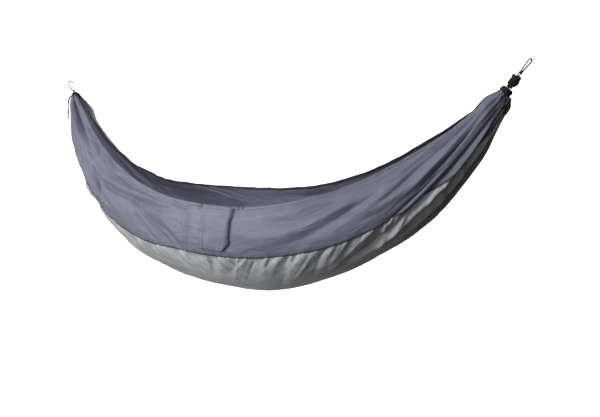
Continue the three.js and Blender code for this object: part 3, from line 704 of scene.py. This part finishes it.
seam_theta = theta_line[7:-7]
for label, side in (("near", -1), ("far", 1)):
    phi = side * np.interp(seam_theta, theta_line, seam_line)
    belly = np.interp(seam_theta, theta_line, all_sections[4])
    centre_phi = phi - side * 0.0015 / belly
    p, n = path_frames(seam_theta, centre_phi)
    band = swept_mesh(p + n * 0.0008, capsule_band(0.0085, 0.0016), up=n, radius_scale=end_taper(len(p), 12, 0.15))
    dress(band_object(f"{label}_seam_tape", band, 0.017), SEAM_TAPE_AND_GAP_SHADE)
    across = unit(np.cross(np.gradient(p, axis=0), n))
    rows = [stitches(p + across * off + n * 0.0017, n) for off in (-0.0027, 0.0027)]
    dress(join_parts(f"{label}_seam_stitches", rows), THREAD)

# rolled hem: the edge is folded over a thin cord and sewn down on both faces
HEM_ROLL, HEM_BAND, HEM_STITCH = 0.0024, 0.013, 0.0085


def hem_profile(roll, band):
    """Outline across a hem: x outwards from the cloth, y up past its edge."""
    out = [(roll * math.cos(math.pi * k / 8), roll * 0.9 * math.sin(math.pi * k / 8)) for k in range(9)]
    out += [(-0.0016, -roll * 1.2), (-0.0016, -band), (-0.0006, -band - 0.0006)]
    return np.array(out + [(-x, y) for x, y in out[:-4:-1]])


hem_theta = theta_line[8:-8]
for label, side in (("near", -1), ("far", 1)):
    phi = side * np.interp(hem_theta, theta_line, rim_line)
    p, n = path_frames(hem_theta, phi)
    inner, _ = path_frames(hem_theta, phi * 0.985)
    tangent = unit(np.gradient(p, axis=0))
    beyond = p - inner
    beyond = unit(beyond - tangent * np.sum(beyond * tangent, axis=1, keepdims=True))
    # the profile's y is past the edge; its x is along the sweep's side vector
    sign = np.sign(np.mean(np.sum(np.cross(tangent, beyond) * n, axis=1)))
    profile = hem_profile(HEM_ROLL, HEM_BAND)
    profile[:, 0] *= sign
    if sign < 0:
        profile = profile[::-1]
    band = swept_mesh(p + beyond * 0.0012, profile, up=beyond, radius_scale=end_taper(len(p), 30, 0.3))
    hem = band_object(f"{label}_rim_hem_roll", band, 0.03)
    # the far hem takes the darker copy of the slate cloth: painted shade along the far rim
    dress(hem, SLATE if side < 0 else SHADED_SLATE, f"{label}_rim_hem")
    rows = [stitches(p - beyond * HEM_STITCH + n * face * 0.0019, n * face) for face in (1, -1)]
    thread = dress(join_parts(f"{label}_hem_stitches", rows), THREAD)

# ------------------------------------------------------------------ pocket
POCKET_WIDTH, POCKET_HEIGHT = 0.172, 0.203
POCKET_CENTRE_X, POCKET_TOP_DROP = 1.210, 0.007


def pocket_angles(a, b):
    """Cloth angles under a place on the pocket, a across from the head side and b down from the mouth."""
    x = POCKET_CENTRE_X + (a - 0.5) * POCKET_WIDTH
    theta = np.arccos(1 - 2 * x / CHORD)
    rim = np.interp(theta, theta_line, rim_line)
    table_phi = np.linspace(0, 1.6, 240)
    phis = -rim[..., None] + table_phi
    line = hung(np.repeat(theta[..., None], len(table_phi), -1), phis)
    steps = np.cumsum(np.linalg.norm(np.diff(line, axis=-2), axis=-1), axis=-1)
    down = np.concatenate([np.zeros(line.shape[:-2] + (1,)), steps], -1)
    want = POCKET_TOP_DROP + b * POCKET_HEIGHT
    flat_down = down.reshape(-1, len(table_phi))
    flat_want = np.broadcast_to(want, theta.shape).reshape(-1)
    flat_phi = phis.reshape(-1, len(table_phi))
    out = np.array([np.interp(q, d, f) for q, d, f in zip(flat_want, flat_down, flat_phi)])
    return theta, out.reshape(theta.shape)


def pocket_rise(x, y):
    """Stand-off of the pouch's face from the panel, x across from the head side and y down, in metres."""
    a, b = x / POCKET_WIDTH, y / POCKET_HEIGHT
    left = 0.6 * smooth_step(x / 0.036) + 0.4 * smooth_step(x / 0.008)
    right = 0.35 + 0.65 * smooth_step((POCKET_WIDTH - x) / 0.004)
    bottom = 0.35 + 0.65 * smooth_step((POCKET_HEIGHT - y) / 0.006)
    body = left * right * bottom
    rise = 0.0018 + (0.0095 + 0.0045 * a) * body
    rise += 0.0026 * noise(a * 4 + 1, b * 2.2, 81) * body
    rise += 0.0012 * noise(a * 15, b * 3.2 + 4, 82) * body
    rise += 0.0008 * noise(a * 30 + 2 * b, b * 9, 83) * body
    rise -= 0.0075 * np.exp(-(((x - 0.022 - 0.010 * b) / 0.007) ** 2)) * body
    rise -= 0.0035 * np.exp(-(((POCKET_WIDTH - 0.0085 - x) / 0.0028) ** 2)) * body
    return rise


def with_tuck(length, count, edge):
    """Places along a face up to its folded edge, then down its turned-under side, which is later painted dark as
    shade, with the share of the rise at each.
    """
    face = np.concatenate([np.linspace(0, length - 0.012, count), np.linspace(length - 0.012, length, 14)[1:]])
    under = length + edge * np.array([0.12, 0.30, 0.52, 0.74, 0.90, 1.0])
    return np.concatenate([face, under]), np.concatenate([np.ones(len(face)), [0.90, 0.70, 0.48, 0.28, 0.14, 0.10]])


x_line, x_share = with_tuck(POCKET_WIDTH, 60, 0.0062)
y_line, y_share = with_tuck(POCKET_HEIGHT, 66, 0.0030)
X, Y = np.meshgrid(x_line, y_line, indexing="ij")
XS, YS = np.meshgrid(x_share, y_share, indexing="ij")
face_rise = pocket_rise(np.minimum(X, POCKET_WIDTH), np.minimum(Y, POCKET_HEIGHT))
rise = np.maximum(0.0012, face_rise * XS * YS)
# the lower foot-side corner is cut off and folded under; the free edge sways a little
corner = np.clip((X - 0.136) / 0.036, 0, 1) * np.clip((Y - 0.166) / 0.037, 0, 1)
sway = 0.0016 * noise(Y * 26, 1.5, 91) * smooth_step((X - 0.12) / 0.05)
sway += np.maximum(X - POCKET_WIDTH, 0) * (0.9 * noise(Y * 30, 6.5, 92) + 0.5 * (Y < 0.045))
theta_p, phi_p = pocket_angles((X - 0.025 * corner + sway) / POCKET_WIDTH, (Y - 0.012 * corner) / POCKET_HEIGHT)
pouch_grid = cloth(theta_p, phi_p) + hung_normal(theta_p, phi_p) * rise[..., None]
pouch = thick_sheet("pocket_cloth", pouch_grid, np.stack([X, Y], -1), 0.0009)
dress(pouch, SLATE, "pocket_pouch")
# second material: the dark cloth on the turned-under edges is painted shade in the gap beneath the pouch's free edges
pouch.data.materials.append(SEAM_TAPE_AND_GAP_SHADE)
last_x, last_y = len(x_line) - 7, len(y_line) - 7  # where the turned-under side begins; its faces are painted dark as shade in the gap
cells = (len(x_line) - 1) * (len(y_line) - 1)
for index in range(2 * cells):
    i, j = divmod(index % cells, len(y_line) - 1)
    if i >= last_x or j >= last_y:
        pouch.data.polygons[index].material_index = 1

face_end = last_x + 1
mouth = pouch_grid[:face_end, 0]
mouth_n = hung_normal(theta_p[:face_end, 0], phi_p[:face_end, 0])
mouth_down = unit(pouch_grid[:face_end, 2] - mouth)
band = swept_mesh(mouth + mouth_down * 0.005 + mouth_n * 0.0005, capsule_band(0.013, 0.0022), up=mouth_n)
mouth_hem = band_object("pocket_mouth_band", band, 0.03)
dress(mouth_hem, SLATE, "pocket_mouth_hem")
rows = [stitches(mouth + mouth_down * 0.0098 + mouth_n * 0.0018, mouth_n)]
for row in (np.s_[1, :last_y], np.s_[last_x - 6, :last_y], np.s_[:last_x, last_y - 5]):
    n = hung_normal(theta_p[row], phi_p[row])
    rows.append(stitches(pouch_grid[row] + n * 0.0006, n))
# bar tacks at the mouth's corners and beside it, where the rim is drawn together
for tack_t, length in ((-0.080, 0.013), (0.064, 0.013), (0.098, 0.010), (0.118, 0.008)):
    tack_theta = np.full(7, math.acos(-tack_t))
    tack_rim = float(np.interp(tack_theta[0], theta_line, rim_line))
    tack_phi = -tack_rim + np.linspace(-0.004, length / 0.30, 7)
    on_pocket = 0 < tack_t < 0.07
    tack_line = cloth(tack_theta, tack_phi, 0.0150 if on_pocket else 0.0034)
    rows.append(swept_mesh(tack_line, capsule_band(0.0036, 0.0022), up=hung_normal(tack_theta, tack_phi)))
pocket_thread = dress(join_parts("pocket_stitches", rows), THREAD)

# ------------------------------------------------------------------ rope work at each end
ROPE_RADIUS = 0.0025
CHANNEL_RADIUS, CHANNEL_INSIDE = 0.0125, 0.016
GAP = 0.0003
HOOK_WIRE, EYE_REACH = 0.007, 0.007
ENDS = [
    dict(name="head", side=-1, wrap=0.011, neck=0.0, knot=0.012, spin=43),
    dict(name="foot", side=1, wrap=0.024, neck=0.009, knot=0.050, spin=72),
]


def end_frame(end):
    """Origin and axes of the pull line at an end: columns are across, sideways and along the pull."""
    pull = PULL[end["side"]] * DEG
    tilt = -end["side"] * pull
    drop = BUNDLE_DEPTH * PULL_LINE_SHARE
    origin = GATHERS[end["side"]] + np.array([-drop * math.sin(tilt), 0, -drop * math.cos(tilt)])
    turn = end["side"] * (math.pi / 2 - pull)
    x = np.array([math.cos(turn), 0, -math.sin(turn)])
    z = np.array([math.sin(turn), 0, math.cos(turn)])
    return origin, np.stack([x, np.array([0, 1, 0]), z], 1)


def place_local(end, local):
    origin, axes = end_frame(end)
    return origin + np.asarray(local) @ axes.T


def ring_line(radius, z, turns, tilt, lumps, lump, phase, steps):
    """A coil of rope round the pull line, its turns leaning and lumpy as hand-wound rope is."""
    a = np.linspace(0, 2 * math.pi * turns, steps)
    r = radius + lump * np.cos(lumps * a + phase)
    height = z[0] + (z[1] - z[0]) * a / a[-1] + tilt * np.cos(a + phase)
    return np.stack([r * np.cos(a), r * np.sin(a), height], 1)


def rope_part(end, local, sides=12):
    return swept_mesh(place_local(end, local), round_profile(ROPE_RADIUS, sides))


def crossing(end, radius, places):
    """A rope laid over the turns, through places given as angle, share of the radius and height."""
    line = [(radius * math.cos(q) * share, radius * math.sin(q) * share, z) for q, share, z in places]
    return rope_part(end, catmull(line, 8))


CASING_ROWS, CASING_SIDES = 26, 96


for end in ENDS:
    label = end["name"]
    wrap, knot = end["wrap"], end["knot"]
    top = wrap + GAP
    foot_end = end["side"] > 0

    # pleated casing that the rope runs through
    z_line = np.linspace(-CHANNEL_INSIDE, top, CASING_ROWS)
    a_round = np.linspace(0, 2 * math.pi, CASING_SIDES, endpoint=False)
    swell = np.interp(z_line, [-CHANNEL_INSIDE, -CHANNEL_INSIDE / 2, 0, top], [0.72, 0.98, 1.0, 0.97])
    pleat = 1 + 0.085 * np.abs(np.sin(5.5 * a_round + 0.4)) - 0.05
    radii = CHANNEL_RADIUS * swell[:, None] * pleat[None, :]
    height = np.repeat(z_line[:, None], CASING_SIDES, 1)
    local = np.stack([radii * np.cos(a_round), radii * np.sin(a_round), height], -1)
    uv = np.stack(np.broadcast_arrays(a_round[None, :] * CHANNEL_RADIUS, z_line[:, None]), -1).reshape(-1, 2)
    casing = mesh_object(f"{label}_casing_pleats", place_local(end, local.reshape(-1, 3)),
                         tube_faces(CASING_ROWS, CASING_SIDES), uv)
    dress(casing, SLATE, f"{label}_end_channel")

    # binding turns
    low, high = 0.0011 + ROPE_RADIUS, wrap - ROPE_RADIUS
    rise = high - low
    turns = max(2.0, rise / 0.0049 + 1)
    neck_turns = 3.4 if foot_end else 2.8  # laid over the cloth below the casing
    parts = [
        rope_part(end, ring_line(0.0155, (low, high), turns, 0.0003, 3, 0.0002, 0.7, 160)),
        rope_part(end, ring_line(0.0203, (low, high), turns, 0.0008, 4, 0.0004, 2.1, 220)),
        rope_part(end, ring_line(0.0232, (-0.013, low), neck_turns, 0.0022, 2, 0.0012, 0.5, 200)),
        crossing(end, 0.0215, ((3.3, 0.93, low - 0.001), (3.5, 1.09, low + 0.25 * rise), (3.8, 1.12, low + 0.6 * rise),
                               (4.2, 1.07, high), (4.5, 0.86, high + 0.002))),
        crossing(end, 0.0215, ((0.6, 0.93, low - 0.001), (0.4, 1.1, low + 0.3 * rise), (0.1, 1.1, low + 0.7 * rise),
                               (-0.3, 0.9, high + 0.002))),
    ]
    if foot_end:
        # the casing's cord doubles back down the keel side in long lumpy strands
        for k, w0 in enumerate((-0.60, -0.46, -0.32, -0.18, -0.04, 0.10)):
            angle = np.linspace(0.04, 0.135 + 0.015 * (k % 2), 26)
            strand_theta = math.pi - angle
            strand_phi = (w0 + 0.05 * np.sin(angle * 45 + 2.1 * k)) * section(strand_theta)[5]
            laid = cloth(strand_theta, strand_phi, 0.0026 + 0.0010 * np.sin(angle * 90 + k))
            parts.append(swept_mesh(laid, round_profile(ROPE_RADIUS)))
    dress(join_parts(f"{label}_wound_cord", parts), ROPE, f"{label}_rope_wraps")

    # knot
    start = top + GAP + end["neck"]
    middle = start + knot / 2
    if foot_end:
        inner = ring_line(0.0098, (top + 0.003, start + knot - 0.004), 10, 0.002, 3, 0.0006, 0.3, 480)
        outer = ring_line(0.0152, (start + 0.006, start + knot - 0.006), 6.5, 0.0060, 3, 0.0016, 1.1, 420)
        parts = [rope_part(end, inner), rope_part(end, outer)]
        for q0, shift in ((0.4, 0.0), (2.6, 0.004), (4.6, -0.003)):
            parts.append(crossing(end, 0.0188, [(q0 + d, share, middle + z + shift) for d, share, z in (
                (-0.7, 0.8, -0.017), (-0.4, 1.0, -0.010), (0.0, 1.04, 0.0), (0.45, 1.0, 0.010), (0.8, 0.78, 0.017))]))
    else:
        a = np.linspace(0, 6 * math.pi, 260)
        r = 0.0112 + 0.0042 * np.cos(4 * a / 3)
        z = middle + 0.0040 * np.sin(4 * a / 3)
        inner = ring_line(0.0092, (start + 0.0028, start + knot - 0.0028), 2.6, 0.0004, 3, 0.0003, 0.3, 120)
        parts = [rope_part(end, np.stack([r * np.cos(a), r * np.sin(a), z], 1)), rope_part(end, inner)]
    dress(join_parts(f"{label}_tied_knot", parts), ROPE, f"{label}_rope_knot")

    # eye over the hook's wire
    wire_z = start + knot + EYE_REACH + HOOK_WIRE / 2
    over_wire = HOOK_WIRE / 2 + ROPE_RADIUS + 0.0005
    leg = ROPE_RADIUS + 0.0006
    below_wire = wire_z - EYE_REACH - HOOK_WIRE
    eye = [(0, leg, top + GAP + 0.0001), (0, leg, (top + below_wire) / 2), (0, leg, below_wire + HOOK_WIRE / 2)]
    around = np.linspace(0, math.pi, 7)
    bend = [(0, over_wire * math.cos(q), wire_z + over_wire * math.sin(q)) for q in around]
    x, y, z = catmull(eye + bend + [(0, -y, z) for _, y, z in eye[::-1]], 9).T
    cos, sin = math.cos(end["spin"] * DEG), math.sin(end["spin"] * DEG)
    cord = rope_part(end, np.stack([x * cos - y * sin, x * sin + y * cos, z], 1), sides=14)
    dress(join_parts(f"{label}_eye_cord", [cord]), ROPE, f"{label}_rope_eye")

# ------------------------------------------------------------------ hooks: the CAD's own solids, polished
for label in ("head", "foot"):
    for piece in ("hook_body", "hook_gate", "gate_pin", "gate_plunger", "gate_spring"):
        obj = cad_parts[f"{label}_{piece}"]
        obj.data.materials.clear()
        obj.data.materials.append(SPRING_STEEL if piece in ("gate_spring", "gate_plunger") else STEEL)
        obj.data.polygons.foreach_set("use_smooth", np.ones(len(obj.data.polygons), bool))
        obj.data.set_sharp_from_angle(angle=40 * DEG)

# ------------------------------------------------------------------ studio
def stage_material(name, tone, roughness, glow=0.0):
    return new_material(name, {
        "Base Color": (tone, tone, tone, 1), "Roughness": roughness, "Specular IOR Level": 0.0,
        "Emission Color": (1, 1, 1, 1), "Emission Strength": glow})[0]


FLOOR_Z, FLOOR_HALF = -1.9, 30
COVE_RADIUS, COVE_TOP, COVE_SIDES = 28, 24, 48
SQUARE = ((-1, -1), (1, -1), (1, 1), (-1, 1))
floor_corners = [(x * FLOOR_HALF, y * FLOOR_HALF, FLOOR_Z) for x, y in SQUARE]
floor = mesh_object("floor", floor_corners, [(0, 1, 2, 3)], smooth=False)
floor.data.materials.append(stage_material("pale_floor", 0.85, 0.9, 1.0))

# a white cove all round, seen but giving no light
cove_points = [(COVE_RADIUS * math.cos(a), COVE_RADIUS * math.sin(a), z) for z in (FLOOR_Z - 0.5, COVE_TOP)
               for a in (2 * math.pi * k / COVE_SIDES for k in range(COVE_SIDES))]
cove_faces = grid_faces(2, COVE_SIDES, closed_columns=True) + [tuple(range(COVE_SIDES, 2 * COVE_SIDES))]
cove = mesh_object("cove", cove_points, cove_faces)
cove.data.materials.append(stage_material("white_cove", 0.85, 0.9, 1.0))
for obj in (floor, cove):
    obj.visible_diffuse = obj.visible_glossy = obj.visible_shadow = obj.visible_transmission = False

world = bpy.data.worlds.new("studio")
world.use_nodes = True
tree = world.node_tree
facing = node(tree, "VectorMath", operation="DOT_PRODUCT")
tree.links.new(node(tree, "TexCoord").outputs["Generated"], facing.inputs[0])
facing.inputs[1].default_value = (-0.66, -0.66, 0.36)
level = math_node(tree, "ADD", math_node(tree, "MULTIPLY", facing.outputs["Value"], 0.5), 0.5)
glow = ramp(tree, level, [
    (0.15, (0.26, 0.26, 0.26)), (0.50, (0.22, 0.22, 0.22)), (0.72, (0.45, 0.45, 0.46)), (0.92, (0.80, 0.80, 0.81))])
background = tree.nodes["Background"]
tree.links.new(glow, background.inputs["Color"])
background.inputs["Strength"].default_value = 1.0
bpy.context.scene.world = world

for name, energy, angle, toward in (
    ("key", 1.85, 0.30, (-0.56, -0.78, 0.27)),
    ("top", 0.8, 0.70, (-0.10, -0.62, 0.78)),
    ("back", 1.6, 0.60, (0.45, 0.75, 0.48)),
):
    light_data = bpy.data.lights.new(name, "SUN")
    light_data.energy = energy
    light_data.angle = angle
    light = add_object(name, light_data)
    light.rotation_euler = Vector(toward).to_track_quat("Z", "Y").to_euler()

# a soft spot over the near rim into the head end
spot_data = bpy.data.lights.new("inside", "SPOT")
spot_data.energy = 240
spot_data.spot_size = 34 * DEG
spot_data.spot_blend = 1.0
spot_data.shadow_soft_size = 0.15
spot = add_object("inside", spot_data)
spot.location = (2.62, -2.05, 0.16)
spot.rotation_euler = (spot.location - Vector((0.62, 0.14, -0.40))).to_track_quat("Z", "Y").to_euler()

# black cards keep the light off the foot flank
for name, centre, away, size in (
    ("flag_low", (2.42, -0.15, -1.10), (0.80, -0.15, -0.58), 0.85),
    ("flag_side", (3.05, -0.10, -0.35), (0.97, -0.15, 0.0), 0.75),
):
    turn = Vector(away).to_track_quat("Z", "Y").to_matrix()
    corners = [Vector(centre) + turn @ Vector((x * size, y * size, 0)) for x, y in SQUARE]
    card = mesh_object(name, corners, [(0, 1, 2, 3)], smooth=False)
    card.data.materials.append(stage_material(name, 0.004, 0.95))
    card.visible_camera = False

bpy.context.scene.view_settings.view_transform = "Standard"
bpy.context.scene.view_settings.look = "None"
